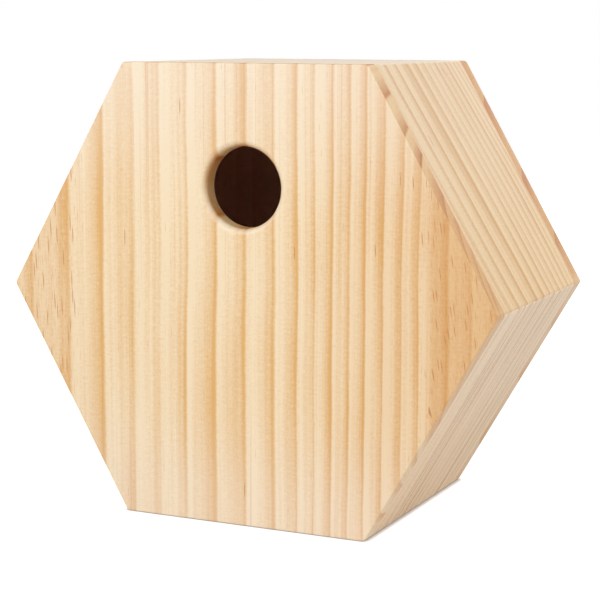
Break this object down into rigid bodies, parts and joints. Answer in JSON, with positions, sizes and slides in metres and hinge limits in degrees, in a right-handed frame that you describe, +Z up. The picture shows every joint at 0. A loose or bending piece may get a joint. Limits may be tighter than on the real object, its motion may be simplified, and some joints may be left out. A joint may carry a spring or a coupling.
{
  "type": "nest box",
  "caption": "Hexagonal pine nest box with a rounded entrance hole in its front board, a ring of mitred side boards and a screwed-on back board with a hanging keyhole.",
  "frame": {"origin": "centre of the footprint, on the surface that the box stands on", "axes": "+Z up, the front with the entrance faces -Y, +X to the right as seen from the front"},
  "size_m": [0.2304, 0.118, 0.2],
  "materials": {
    "pine": "planed and sanded pine, unfinished, with growth rings and resin streaks",
    "beech": "plain turned dowel rod",
    "zinc_steel": "bright zinc-plated steel"
  },
  "bodies": {
    "shell": {"front_panel": "pine", "roof_board": "pine", "upper_right_board": "pine", "lower_right_board": "pine", "floor_board": "pine", "lower_left_board": "pine", "upper_left_board": "pine", "front_dowels": "beech"},
    "back": {"back_panel": "pine", "back_screws": "zinc_steel"}
  },
  "joints": [
    {"name": "back_panel_off", "type": "slide", "parent": "shell", "child": "back", "axis": [0, 1, 0], "range_m": [0, 0.08]}
  ]
}
